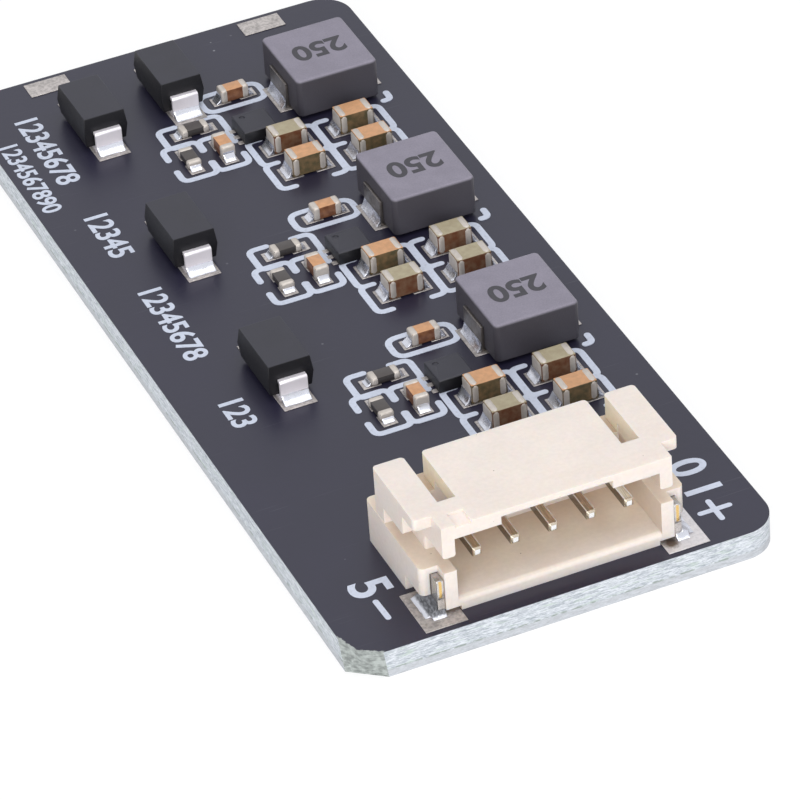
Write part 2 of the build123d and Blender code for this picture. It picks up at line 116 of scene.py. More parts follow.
class ConnectorFinish(bpy.types.PropertyGroup):
    """Moulded housing, contacts and solder tabs."""
    nylon_colour: colour_value("Nylon", "Colour of the moulded housing", 241, 230, 222)
    # Inside the socket, far inside it and on the ledges the nylon holds painted shade, and beside the roof
    # slots painted light.
    nylon_inner: colour_value("Nylon inside", "Deeper colour inside the connector", 242, 228, 211)
    nylon_deep: colour_value("Far inside", "Nylon at the back of the socket", 214, 192, 170)
    nylon_ledge: colour_value("Ledges", "Deeper tone of the nylon on the base's ledges", 224, 206, 184)
    nylon_slot: colour_value("Slot walls", "Nylon lit through beside the roof slots", 254, 243, 224)
    nylon_edge: length_value("Moulded edge", "Rounding of the housing's edges", 0.07)
    contact_colour: colour_value("Contacts", "Plated contacts", 222, 208, 186)
    # The contacts' highlight colour is painted along their edges and on the cut face at the tip.
    contact_tip: colour_value("Contact tips", "Bright cut faces of the contacts", 246, 245, 245)
    contact_edge: length_value("Contact edge", "Rounding of the contacts' edges", 0.03)
    tab_colour: colour_value("Tabs", "Plated solder tabs", 214, 210, 206)
    # The tabs' gold is a painted reflection in a band down their fronts.
    tab_gold: colour_value("Tab gold", "Gold band down the front of the tabs", 240, 196, 104)
    tab_edge: length_value("Tab edge", "Rounding of the tabs' edges", 0.03)


class ComponentFinish(bpy.types.PropertyGroup):
    """Chips, controllers, inductors, diodes and solder."""
    # Down a chip's sides the other face's colour is darkened as painted shade.
    ceramic_colour: colour_value("Ceramic", "Orange face of a chip capacitor, upwards", 214, 160, 116)
    ceramic_shade: colour_value("Ceramic side", "Orange face down a chip capacitor's side", 104, 62, 40)
    olive_colour: colour_value("Olive ceramic", "Olive face of a chip capacitor, upwards", 174, 164, 136)
    olive_shade: colour_value("Olive side", "Olive face down a chip capacitor's side", 86, 79, 56)
    end_colour: colour_value("Chip ends", "Dull tinned ends of the chips", 204, 196, 188)
    lead_colour: colour_value("Leads", "Tinned diode leads", 246, 241, 247)
    strip_colour: colour_value("Inductor strips", "Tarnished inductor terminals", 132, 126, 122)
    film_colour: colour_value("Resistors", "Glaze over the resistors", 74, 68, 66)
    solder_colour: colour_value("Solder", "Bright solder", 214, 215, 222)
    core_colour: colour_value("Inductors", "Pressed iron powder", 137, 132, 146)
    core_mark_colour: colour_value("Inductor digits", "Ink on the inductors", 58, 56, 62)
    core_mark_height: length_value("Digit height", "Height of the digits on the inductors", 1.5)
    core_mark_thickness: length_value("Digit thickness", "How far those digits stand up", 0.006)
    epoxy_colour: colour_value("Epoxy", "Black moulding compound", 39, 38, 48)
    # The sides of the inductors and the black parts are darkened beside their tops as painted shade.
    core_side: share_value("Inductor sides", "How light the inductors' sides are beside their tops", 0.22)
    epoxy_side: share_value("Epoxy sides", "How light the sides of black parts are beside their tops", 0.18)
    moulded_edge: length_value("Part edge", "Rounding of moulded parts", 0.06)
    strip_edge: length_value("Strip edge", "Rounding of folded leads and terminals", 0.03)
    chip_edge_share: share_value("Chip edge", "Rounding of the chips' ends, as a share of their width", 0.16)
    solder_grain: length_value("Solder detail", "Finest detail kept in the solder", 0.045)


class Studio(bpy.types.PropertyGroup):
    """Camera and light. The camera turns about the middle of the connector's edge of the board."""
    azimuth: angle_value("Azimuth", "Camera turn about the upright axis", -21.247815717508)
    elevation: angle_value("Elevation", "Camera height over the board", 36.349088065622)
    roll: angle_value("Roll", "Camera roll", -4.344981249134)
    distance: length_value("Distance", "From the camera to its target", 274.424356848079)
    aim_right: length_value("Aim right", "Target's place right of the picture's centre", 8.158708838511)
    aim_down: length_value("Aim down", "Target's place below the picture's centre", 9.111977794572)
    focal_length: bpy.props.FloatProperty(
        name="Focal length", description="In millimetres, on a 36 mm sensor", default=258.580737, min=1.0)
    floor_colour: colour_value("Floor", "Colour of the floor", 251, 251, 252)
    floor_glow: share_value("Floor glow", "Share of the floor that shows as plain white", 0.72)
    sky_strength: bpy.props.FloatProperty(
        name="Sky", description="Strength of the even light", default=0.53, min=0.0)
    top_power: bpy.props.FloatProperty(
        name="Top", description="Power of the large lamp overhead", default=2.0, min=0.0)
    front_power: bpy.props.FloatProperty(
        name="Front", description="Power of the large low lamp at the front left", default=3.1, min=0.0)


class BalancerBoard(bpy.types.PropertyGroup):
    """All settings of the board."""
    board: bpy.props.PointerProperty(type=BoardFinish, name="Board", description="Board surfaces")
    connector: bpy.props.PointerProperty(
        type=ConnectorFinish, name="Connector", description="Connector surfaces")
    parts: bpy.props.PointerProperty(type=ComponentFinish, name="Parts", description="Component surfaces")
    studio: bpy.props.PointerProperty(type=Studio, name="Studio", description="Camera and light")


def settings():
    """The board's settings on the scene."""
    return bpy.context.scene.balancer_board


# Materials

class Nodes:
    """Shader nodes of a material or of the sky."""

    def __init__(self, tree):
        self.tree = tree

    def fill(self, socket, value):
        """Links a socket to a node's output, or sets it to a value."""
        if isinstance(value, bpy.types.NodeSocket):
            self.tree.links.new(value, socket)
        else:
            socket.default_value = value

    def add(self, kind, values=(), **options):
        """Adds a node, sets its options, and fills its sockets."""
        made = self.tree.nodes.new("ShaderNode" + kind)
        for option, value in options.items():
            setattr(made, option, value)
        for socket, value in dict(values).items():
            self.fill(made.inputs[socket], value)
        return made

    def work_out(self, operation, first, second=0.0):
        """One step of arithmetic."""
        return self.add("Math", {0: first, 1: second}, operation=operation).outputs[0]

    def times(self, first, *others):
        """Product of two or more values."""
        for other in others:
            first = self.work_out("MULTIPLY", first, other)
        return first

    def plus(self, first, second):
        """Sum."""
        return self.work_out("ADD", first, second)

    def minus(self, first, second):
        """Difference."""
        return self.work_out("SUBTRACT", first, second)

    def larger(self, first, second):
        """The larger of two values."""
        return self.work_out("MAXIMUM", first, second)

    def size(self, value):
        """Value without its sign."""
        return self.work_out("ABSOLUTE", value)

    def window(self, value, low, high, most=1.0):
        """Share of the way from low to high, held between 0 and the most that it may be."""
        ends = {"Value": value, "From Min": low, "From Max": high, "To Max": most}
        return self.add("MapRange", ends, clamp=True).outputs["Result"]

    def band(self, value, start, full, last, end):
        """Share that rises from start to full and falls from last to end."""
        return self.times(self.window(value, start, full), self.window(value, end, last))

    def blend(self, share, first, second):
        """Mix of two colours."""
        return self.add("Mix", {0: share, 6: first, 7: second}, data_type="RGBA").outputs[2]

    def tones(self, share, colour, first, second):
        """Mix of one colour at two levels."""
        return self.blend(share, shade(colour, first), shade(colour, second))

    def between(self, share, first, second):
        """Mix of two numbers."""
        return self.add("Mix", {"Factor": share, "A": first, "B": second}).outputs["Result"]


class Look(Nodes):
    """Material in the making. Its patterns are drawn in millimetres on Object coordinates."""

    def __init__(self, name):
        self.material = bpy.data.materials.new(name)
        self.material.use_nodes = True
        super().__init__(self.material.node_tree)
        self.shader = self.tree.nodes["Principled BSDF"]
        self.where = self.turned(self.add("TexCoord").outputs["Object"], (1 / MM, 1 / MM, 1 / MM))

    @cached_property
    def place(self):
        """Place in millimetres, by axis."""
        return self.add("SeparateXYZ", {"Vector": self.where}).outputs

    @cached_property
    def facing(self):
        """Direction that the surface faces, by axis."""
        return self.add("SeparateXYZ", {"Vector": self.add("TexCoord").outputs["Normal"]}).outputs

    def turned(self, place, scale, turn=(0, 0, 0)):
        """Place scaled along each axis, and turned."""
        return self.add("Mapping", {"Vector": place, "Scale": scale, "Rotation": turn}).outputs["Vector"]

    def grain(self, scale, detail=2.0, stretch=(1, 1, 1), turn=(0, 0, 0)):
        """Soft noise from 0 to 1, finer along an axis by its stretch."""
        place = self.turned(self.where, stretch, turn)
        return self.add("TexNoise", {"Vector": place, "Scale": scale, "Detail": detail}).outputs["Fac"]

    def specks(self, scale, size):
        """Sparse round specks, 1 inside."""
        made = self.add("TexVoronoi", {"Vector": self.where, "Scale": scale})
        return self.window(made.outputs["Distance"], size, size * 0.6)

    def vector(self, operation, first, second):
        """One step of arithmetic on places or colours."""
        return self.add("VectorMath", {0: first, 1: second}, operation=operation)

    def set(self, **inputs):
        """Links or sets the shader's inputs."""
        for name, value in inputs.items():
            self.fill(self.shader.inputs[name.replace("_", " ").title()], value)

    def relief(self, height, depth):
        """Bumps of a depth in millimetres."""
        made = self.add("Bump", {"Height": height, "Distance": depth * MM, "Strength": 1.0})
        self.fill(self.shader.inputs["Normal"], made.outputs["Normal"])

    def texture(self, pattern, rise, least, depth):
        """Roughness that follows a pattern up from its least value, and bumps that follow it too."""
        self.set(roughness=self.plus(self.times(pattern, rise), least))
        self.relief(pattern, depth)


def shade(colour, level):
    """Colour made darker or lighter by a factor."""
    return tuple(min(1.0, part * level) for part in colour[:3]) + (1.0,)


# Marks on the surfaces, and places in millimetres. Two heights or distances are a ramp from 0 to 1, and four
# are one that rises and falls again. The broken corner's outline is given from the board's left front corner.
DUST = paint(176, 178, 184)
DIRT = paint(120, 98, 78)
BREAK_LINE = ((0.0, 2.0), (0.45, 0.7), (1.5, 0.0))
MASK_LIP = (1.545, 1.57)
PLAIN_PLY_TOP = (0.43, 0.48)
SEAM_HEIGHT = (0.42, 0.46, 0.51, 0.56)
FLUX_FROM_TAB = Vector((-0.3, -0.2, 0.0))
FLUX_REACH = (0.66, 0.36)
PAD_SHEEN_REACH = (3.4, 3.2)
TAB_MARGIN = 0.03
GOLD_REFLECTION_ACROSS = (0.15, 0.19, 0.30, 0.34)
GOLD_REFLECTION_HEIGHT = (0.98, 1.02)
TAB_SHADOW_LINE_HEIGHT = (0.90, 0.94, 0.96, 1.0)
SOLDER_RIM_HIGHLIGHT = (0.25, 0.18)
# Places in and about the connector's socket, where it is smoother and where painted shade and light fall on
# the nylon.
SOCKET_ASIDE = (5.42, 5.36)
SOCKET_DROP = (0.74, 0.80)
SOCKET_FAR = (2.6, 4.6)
SOCKET_MOUTH = (2.0, 0.4)
SIDE_WALL_ASIDE = (5.0, 5.1)
LEDGE_DROP = (0.9, 1.1)
SLOT_ASIDE = (4.2, 4.3, 5.4, 5.5)
SLOT_DEPTH = (2.0, 2.1)
SLOT_DROP = (1.5, 1.3)


def torn_mask(look, torn):
    """Share of the mask that is torn off beside the broken corner, whose outline has two stretches."""
    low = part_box("board")[0] / MM
    away = []
    for start, end in zip(BREAK_LINE, BREAK_LINE[1:]):
        across = Vector((start[1] - end[1], end[0] - start[0])).normalized()
        sideways = look.times(look.minus(look.place["X"], low.x + start[0]), across.x)
        forward = look.times(look.minus(look.place["Y"], low.y + start[1]), across.y)
        away.append(look.plus(sideways, forward))
    reach = look.work_out("MINIMUM", *away)
    wander = look.times(look.minus(torn, 0.42), settings().board.break_ragged / MM)
    return look.window(look.minus(reach, wander), 0.04, 0.0)


def cut_edge(look, fibres, threads, torn, broken):
    """Colour of the cut edge: a plain lower ply, a dashed seam, fibre above it, and the mask's lip."""
    finish = settings().board
    share = look.window(fibres, 0.36, 0.60)
    edge = look.blend(share, finish.laminate_shade, finish.laminate_colour)
    tints = look.grain(1.0, 3.0, stretch=(1.1, 1.1, 9.0), turn=(0.10, 0.12, 0))
    edge = look.blend(look.window(tints, 0.55, 0.68, 0.6), edge, finish.laminate_green)
    plain = look.tones(share, finish.laminate_colour, 0.57, 0.79)
    height = look.plus(look.place["Z"], look.times(threads, 0.06))
    edge = look.blend(look.window(height, *PLAIN_PLY_TOP), plain, edge)
    dashes = look.window(look.grain(1.0, 3.0, stretch=(2.0, 2.0, 4.0)), 0.48, 0.58, 0.85)
    seam = look.times(look.band(height, *SEAM_HEIGHT), dashes)
    edge = look.blend(seam, edge, shade(finish.laminate_green, 0.5))
    edge = look.blend(broken, edge, look.tones(look.window(torn, 0.35, 0.62), finish.break_colour, 0.62, 1.2))
    lip = look.times(look.window(look.place["Z"], *MASK_LIP), look.minus(1.0, broken))
    return look.blend(lip, edge, shade(finish.mask_colour, 1.2))


def mask_material():
    """Glossy dark solder mask on both faces, and glass-fibre laminate at the cut edges."""
    finish = settings().board
    look = Look("solder_mask")
    flat = look.work_out("GREATER_THAN", look.size(look.facing["Z"]), 0.9)
    clouds = look.grain(0.22, 3.0)
    mask = look.tones(look.window(clouds, 0.35, 0.7), finish.mask_colour, 1.0, 1.15)
    dust = look.times(look.specks(0.55, 0.045), look.window(clouds, 0.45, 0.6, 0.5))
    scratch = look.grain(1.0, 1.0, stretch=(0.25, 9.0, 1.0), turn=(0, 0, 0.6))
    scratch = look.times(look.window(scratch, 0.71, 0.76), look.window(clouds, 0.42, 0.62, 0.05))
    mask = look.blend(look.larger(dust, scratch), mask, DUST)

    torn = look.grain(3.2, 5.0, stretch=(1.0, 1.0, 1.8))
    mask = look.blend(torn_mask(look, torn), mask, finish.break_colour)
    broken = look.window(look.larger(look.facing["X"], look.facing["Y"]), -0.15, -0.3)
    streaks = look.grain(1.0, 4.0, stretch=(1.9, 1.9, 15.0), turn=(0.05, 0.06, 0))
    threads = look.grain(1.0, 3.0, stretch=(7.0, 7.0, 24.0), turn=(0.22, 0.26, 0))
    fibres = look.plus(look.times(streaks, 0.62), look.times(threads, 0.38))
    look.set(base_color=look.blend(flat, cut_edge(look, fibres, threads, torn, broken), mask))

    gloss = look.plus(look.times(clouds, 0.12), finish.mask_roughness - 0.06)
    dull = look.plus(look.times(fibres, 0.2), 0.5)
    look.set(roughness=look.between(flat, dull, gloss))
    ripple = look.minus(look.times(look.grain(2.6), 0.10), scratch)
    edge = look.plus(fibres, look.times(torn, broken, 6.0))
    look.relief(look.between(flat, edge, ripple), 0.03)
    return look.material


def stained_patches(look):
    """Broad stained patches on metal."""
    return look.window(look.grain(2.2, 4.0), 0.42, 0.72)


def metal_material(name, colour, roughness, metallic, scale, depth, stain, dark):
    """Plated or soldered metal: stained patches, uneven gloss and small bumps."""
    colour = getattr(settings().parts, colour)
    look = Look(name)
    patches = stained_patches(look)
    uneven = look.grain(scale, 3.0)
    stained = look.tones(look.times(patches, stain), colour, 1.0, dark)
    rough = look.plus(look.times(uneven, roughness * 0.8), look.times(patches, roughness * 0.4))
    look.set(base_color=stained, metallic=metallic, roughness=look.plus(rough, roughness * 0.55))
    look.relief(uneven, depth)
    return look.material


def pad_material():
    """Dull scratched tin with a painted sheen about the foot of the right tab, and brown flux dried on beside
    it.
    """
    finish = settings().board
    look = Look("pad_tin")
    lines = look.grain(9.0, 3.0)
    speckle = look.window(look.grain(5.5, 5.0), 0.45, 0.58, 0.45)
    worn = look.plus(look.times(stained_patches(look), 0.4), speckle)
    body = look.tones(worn, finish.pad_colour, 1.0, 0.5)
    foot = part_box("solder_tab_right")[0] / MM
    foot.z = 0.0
    level = look.vector("MULTIPLY", look.where, (1, 1, 0)).outputs[0]
    sheen_distance = look.vector("DISTANCE", level, foot).outputs["Value"]
    # Painted sheen on the pad about the foot of the right tab.
    body = look.blend(look.window(sheen_distance, *PAD_SHEEN_REACH, 0.5), body, finish.pad_bright)
    away = look.vector("DISTANCE", level, foot + FLUX_FROM_TAB).outputs["Value"]
    flux = look.window(look.plus(away, look.times(lines, 0.3)), *FLUX_REACH, 0.9)
    look.set(base_color=look.blend(flux, body, finish.flux_colour), metallic=0.75)
    look.texture(lines, 0.4, 0.28, 0.015)
    return look.material


def tab_material():
    """Plated tab with painted shade on its top and sides, a painted shadow line across its front, and a
    painted gold reflection in a narrow band down the upper part of its front.
    """
    finish = settings().connector
    look = Look("tab_metal")
    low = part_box("solder_tab_left")[0] / MM
    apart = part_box("solder_tab_right")[0].x / MM - low.x
    across = look.minus(look.place["X"], low.x - TAB_MARGIN)
    across = look.plus(across, look.times(look.grain(3.0, 1.0), 0.06))
    across = look.work_out("FLOORED_MODULO", across, apart)
    height = look.minus(look.place["Z"], low.z)
    ahead = look.window(look.facing["Y"], -0.6, -0.9)
    body = look.tones(look.window(look.grain(4.0, 3.0), 0.45, 0.7, 0.4), finish.tab_colour, 1.0, 0.55)
    # Painted shadow of a step across the front.
    line = look.times(look.band(height, *TAB_SHADOW_LINE_HEIGHT), ahead, 0.7)
    body = look.blend(line, body, shade(finish.tab_colour, 0.12))
    # Painted shade on the top and sides, which face away from the front.
    side = look.window(look.size(look.facing["Y"]), 0.9, 0.6)
    body = look.blend(side, body, shade(finish.tab_colour, 0.58))
    # Painted gold reflection in a narrow band down the upper front.
    gold = look.times(look.band(across, *GOLD_REFLECTION_ACROSS), look.window(height, *GOLD_REFLECTION_HEIGHT), ahead, 0.85)
    look.set(base_color=look.blend(gold, body, finish.tab_gold), metallic=0.75)
    look.texture(look.grain(6.0, 3.0, stretch=(4, 4, 0.4)), 0.12, 0.10, 0.004)
    return look.material


def contact_material():
    """Plated contacts: streaked flats between painted highlights along their edges, painted shade down the
    sides and on the tip's chamfers, and the cut face at the tip whitened as a painted highlight.
    """
    finish = settings().connector
    look = Look("contact_metal")
    low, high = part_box("contact_pin_1")
    pitch = (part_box("contact_pin_2")[0].x - low.x) / MM
    width = (high.x - low.x) / MM
    across = look.work_out("FLOORED_MODULO", look.minus(look.place["X"], low.x / MM), pitch)
    left_edge_highlight = look.window(across, width * 0.20, width * 0.12)
    right_edge_highlight = look.window(across, width * 0.80, width * 0.88)
    edges = look.times(look.larger(left_edge_highlight, right_edge_highlight), look.window(look.facing["Z"], 0.3, 0.5))
    lines = look.grain(6.0, 3.0, stretch=(5, 0.25, 5))
    colour = finish.contact_colour
    body = look.tones(look.window(lines, 0.38, 0.62), colour, 0.66, 1.0)
    # Painted shade down the sides.
    side = look.window(look.size(look.facing["X"]), 0.7, 0.9)
    body = look.blend(side, body, shade(colour, 0.32))
    # Painted highlights along both edges of each contact's upper face.
    body = look.blend(look.times(edges, 0.7), body, finish.contact_tip)
    ahead = look.times(look.facing["Y"], -1.0)
    # Painted shade on the tip's chamfers, and a painted highlight on its cut face.
    body = look.blend(look.window(ahead, 0.4, 0.6), body, shade(colour, 0.85))
    body = look.blend(look.window(ahead, 0.90, 0.96), body, finish.contact_tip)
    look.set(base_color=body, metallic=look.minus(0.9, look.times(edges, 0.4)))
    look.texture(lines, 0.12, 0.12, 0.004)
    return look.material


def reflecting_dull_solder_material():
    """Crumpled dull solder, darkened by a painted dark reflection, with a painted highlight on the rim where
    it thins out on the pad.
    """
    colour = settings().parts.solder_colour
    look = Look("tarnished_solder")
    crumple = look.grain(5.0, 4.0, stretch=(2.2, 0.8, 1.2), turn=(0, 0, 0.12))
    height = look.minus(look.place["Z"], board_top() / MM)
    # Painted highlight along the rim.
    rim_highlight = look.window(look.plus(height, look.times(crumple, 0.12)), *SOLDER_RIM_HIGHLIGHT)
    # Painted dark reflection over the body of the solder.
    body = look.tones(look.window(crumple, 0.38, 0.62), colour, 0.12, 0.36)
    look.set(base_color=look.blend(rim_highlight, body, colour), metallic=0.6)
    look.texture(crumple, 0.2, 0.24, 0.02)
    return look.material


def nylon_colour(look, low, inner, aside, drop):
    """Colour of the nylon, with painted shade on the ledges, in the socket and on its side walls, and painted
    light on the walls beside the roof slots.
    """
    finish = settings().connector
    depth = look.minus(look.place["Y"], low.y)
    # Painted shade on the base's ledges.
    ledge_shade = look.times(look.window(look.facing["Z"], 0.6, 0.9), look.window(drop, *LEDGE_DROP), 0.62)
    colour = look.blend(ledge_shade, finish.nylon_colour, finish.nylon_ledge)
    # Painted shade in the socket, deepest at the back and lifted again at the mouth.
    socket = look.blend(look.window(depth, *SOCKET_FAR), finish.nylon_inner, finish.nylon_deep)
    socket = look.blend(look.window(depth, *SOCKET_MOUTH, 0.8), socket, finish.nylon_colour)
    colour = look.blend(inner, colour, socket)
    sideways = look.window(look.size(look.facing["X"]), 0.5, 0.8)
    # Painted shade on the socket's side walls.
    wall_shade = look.times(inner, sideways, look.window(aside, *SIDE_WALL_ASIDE), 0.85)
    colour = look.blend(wall_shade, colour, finish.nylon_deep)
    # Painted light on the walls beside the roof slots.
    slot_light = look.times(look.band(aside, *SLOT_ASIDE), sideways, look.window(depth, *SLOT_DEPTH))
    return look.blend(look.times(slot_light, look.window(drop, *SLOT_DROP)), colour, finish.nylon_slot)


def nylon_material():
    """Ivory moulded nylon with fine grain, specks and flow marks, smoother on the floor of the socket."""
    finish = settings().connector
    look = Look("housing_nylon")
    low, high = (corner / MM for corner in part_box("connector_housing"))
    aside = look.size(look.minus(look.place["X"], (low.x + high.x) / 2))
    drop = look.minus(high.z, look.place["Z"])
    inner = look.times(look.window(aside, *SOCKET_ASIDE), look.window(drop, *SOCKET_DROP))
    inner = look.times(inner, look.window(look.facing["Y"], -0.9, -0.5))
    clouds = look.grain(0.5, 4.0)
    mottle = look.grain(4.5, 3.0)
    level = look.plus(look.window(clouds, 0.35, 0.68, 0.04), look.window(mottle, 0.35, 0.65, 0.04))
    level = look.plus(level, 0.93)
    body = look.vector("MULTIPLY", nylon_colour(look, low, inner, aside, drop), level).outputs[0]
    flow_marks = look.grain(1.0, 2.0, stretch=(0.35, 2.2, 1.0), turn=(0, 0, 0.35))
    body = look.blend(look.window(flow_marks, 0.55, 0.75, 0.16), body, shade(finish.nylon_inner, 0.85))
    dirt = look.times(look.specks(1.1, 0.045), look.window(clouds, 0.47, 0.54, 0.75))
    look.set(base_color=look.blend(dirt, body, DIRT))

    fine = look.grain(22.0)
    polish = look.times(inner, look.window(look.facing["Z"], 0.5, 0.9))
    rough = look.plus(look.times(fine, 0.12), 0.36)
    look.set(roughness=look.minus(rough, look.times(polish, 0.32)))
    look.set(subsurface_weight=0.4, subsurface_radius=(1.0, 0.62, 0.34), subsurface_scale=0.5 * MM)
    bumps = look.plus(look.times(fine, 0.35), look.times(mottle, 0.5))
    bumps = look.plus(bumps, look.times(look.grain(1.1), 1.6))
    look.relief(look.times(bumps, look.minus(1.0, polish)), 0.012)
    return look.material


def ceramic_material(name, light, dark, side_shade_factor=1.0):
    """Fired ceramic with a fine sintered grain: one tone on top, and another down its sides that is darkened
    as painted shade.
    """
    parts = settings().parts
    look = Look(name)
    mottle = look.window(look.grain(3.4, 3.0), 0.35, 0.68, 0.2)
    # Top faces take the top tone, and the sides the darkened one: painted shade.
    share = look.plus(look.window(look.facing["Z"], 0.3, 0.8, 0.8), mottle)
    look.set(base_color=look.blend(share, shade(getattr(parts, dark), side_shade_factor), getattr(parts, light)))
    look.texture(look.grain(26.0), 0.2, 0.28, 0.004)
    return look.material


def stone_material(name, colour, side_shade_setting, roughness, scale, depth, contrast):
    """Matt moulded or pressed body with a fine speckle, its sides darkened below its top as painted shade."""
    parts = settings().parts
    colour = getattr(parts, colour)
    look = Look(name)
    fine = look.grain(scale, 3.0)
    mottle = look.plus(look.times(fine, 0.6), look.times(look.grain(0.9), 0.4))
    body = look.tones(look.window(mottle, 0.38, 0.62), colour, 1 - contrast, 1 + contrast)
    # Painted shade on the faces that do not look upwards.
    upward = look.window(look.facing["Z"], 0.35, 0.8)
    look.set(base_color=look.blend(upward, shade(colour, getattr(parts, side_shade_setting)), body))
    look.set(roughness=look.plus(look.times(fine, 0.2), roughness - 0.1))
    look.relief(mottle, depth)
    return look.material


def ink_material(name, group, colour):
    """Screen-printed ink, a little thin in places."""
    colour = getattr(getattr(settings(), group), colour)
    look = Look(name)
    look.set(base_color=look.tones(look.window(look.grain(5.0, 4.0), 0.52, 0.75, 0.4), colour, 1.0, 0.62))
    look.texture(look.grain(20.0), 0.2, 0.45, 0.004)
    return look.material


def floor_material():
    """Pale floor that shows mostly plain white and keeps the object's shadow."""
    studio = settings().studio
    look = Look("floor")
    look.set(base_color=studio.floor_colour, roughness=0.9)
    look.shader.inputs["Specular IOR Level"].default_value = 0.1
    seen = look.add("LightPath").outputs
    looked_at = look.larger(seen["Is Camera Ray"], seen["Is Glossy Ray"])
    looked_at = look.larger(looked_at, seen["Is Transmission Ray"])
    glow = look.add("Emission", {"Color": (1, 1, 1, 1), "Strength": 1.05})
    share = look.times(looked_at, studio.floor_glow)
    mixed = look.add("MixShader", {0: share, 1: look.shader.outputs[0], 2: glow.outputs[0]})
    look.fill(look.tree.nodes["Material Output"].inputs["Surface"], mixed.outputs[0])
    return look.material


MAKERS = {
    "mask": mask_material,
    "pad": pad_material,
    "nylon": nylon_material,
    "contact": contact_material,
    "tab": tab_material,
    "tarnished": reflecting_dull_solder_material,
    "solder": partial(
        metal_material, "solder", "solder_colour", roughness=0.24, metallic=0.92, scale=2.2, depth=0.012,
        stain=0.3, dark=0.7),
    "end": partial(
        metal_material, "chip_ends", "end_colour", roughness=0.5, metallic=0.45, scale=5.0, depth=0.02,
        stain=0.35, dark=0.7),
    "lead": partial(
        metal_material, "diode_leads", "lead_colour", roughness=0.36, metallic=0.35, scale=5.0, depth=0.01,
        stain=0.2, dark=0.8),
    "strip": partial(
        metal_material, "inductor_strips", "strip_colour", roughness=0.34, metallic=0.92, scale=5.0,
        depth=0.02, stain=0.5, dark=0.6),
    "ceramic": partial(ceramic_material, "capacitor_ceramic", "ceramic_colour", "ceramic_shade"),
    "orange_up": partial(ceramic_material, "orange_face_up", "ceramic_colour", "olive_shade"),
    "olive_up": partial(ceramic_material, "olive_face_up", "olive_colour", "ceramic_shade"),
    # The resistors' sides are their glaze at half, as painted shade.
    "film": partial(ceramic_material, "resistor_film", "film_colour", "film_colour", side_shade_factor=0.5),
    "core": partial(
        stone_material, "inductor_core", "core_colour", "core_side", roughness=0.55, scale=14.0, depth=0.010,
        contrast=0.10),
    "epoxy": partial(
        stone_material, "black_epoxy", "epoxy_colour", "epoxy_side", roughness=0.48, scale=16.0, depth=0.006,
        contrast=0.12),
    "ink": partial(ink_material, "board_ink", "board", "ink_colour"),
    "core_ink": partial(ink_material, "core_ink", "parts", "core_mark_colour"),
}
made_materials = {}


def material(name):
    """The named material, made once."""
    if name not in made_materials:
        made_materials[name] = MAKERS[name]()
    return made_materials[name]


# Meshes

def named(prefix):
    """Names of the model's nodes that start with a word."""
    return sorted(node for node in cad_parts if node.startswith(prefix))


def dress(node, surface_name):
    """Gives a node of the model its material."""
    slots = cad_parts[node].data.materials
    slots.clear()
    slots.append(material(surface_name))


def merged_copy(node):
    """Copy of a node's mesh with its triangles joined into whole faces."""
    bm = bmesh.new()
    bm.from_mesh(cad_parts[node].data)
    bmesh.ops.remove_doubles(bm, verts=bm.verts, dist=MERGE_DISTANCE)
    bmesh.ops.dissolve_limit(bm, angle_limit=FLAT_ANGLE, verts=bm.verts, edges=bm.edges)
    return bm


def round_edges(bm, edges, width, segments=2):
    """Rounds the given edges."""
    bmesh.ops.bevel(
        bm, geom=edges, offset=width, offset_type="OFFSET", segments=segments, profile=0.5,
        affect="EDGES", material=-1, clamp_overlap=True)


def sharp_edges(bm):
    """Edges where two faces meet at a clear angle."""
    return [e for e in bm.edges if len(e.link_faces) == 2 and e.calc_face_angle() > SHARP_ANGLE]


def finish_piece(bm, name, surfaces, replaces=(), weighted=True):
    """Makes a piece of the mesh, shades it, and lets it ride on the board."""
    mesh = bpy.data.meshes.new(name)
    for face in bm.faces:
        face.smooth = True
    bm.to_mesh(mesh)
    bm.free()
    if "custom_normal" in mesh.attributes:
        mesh.attributes.remove(mesh.attributes["custom_normal"])
    mesh.set_sharp_from_angle(angle=SMOOTH_ANGLE)
    for surface_name in surfaces:
        mesh.materials.append(material(surface_name))
    piece = bpy.data.objects.new(name, mesh)
    bpy.context.scene.collection.objects.link(piece)
    if weighted:
        even = piece.modifiers.new("even_normals", "WEIGHTED_NORMAL")
        even.keep_sharp = True
    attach(piece, "root")
    if replaces:
        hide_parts(*replaces)


def soften(node, surface_name, width, segments=2):
    """Piece that stands for a node, the same shape with its edges rounded."""
    bm = merged_copy(node)
    round_edges(bm, sharp_edges(bm), width, segments)
    for face in bm.faces:
        face.material_index = 0
    finish_piece(bm, node + "_finished", [surface_name], [node])


def rounded_box(bm, low, high, radius, surface_index, segments=3):
    """Adds a box with rounded edges between two corners."""
    size = high - low
    place = Matrix.Translation((low + high) / 2) @ Matrix.Diagonal((size.x, size.y, size.z, 1.0))
    made = bmesh.ops.create_cube(bm, size=1.0, matrix=place)
    for face in {f for v in made["verts"] for f in v.link_faces}:
        face.material_index = surface_index
    round_edges(bm, list({e for v in made["verts"] for e in v.link_edges}), radius, segments)


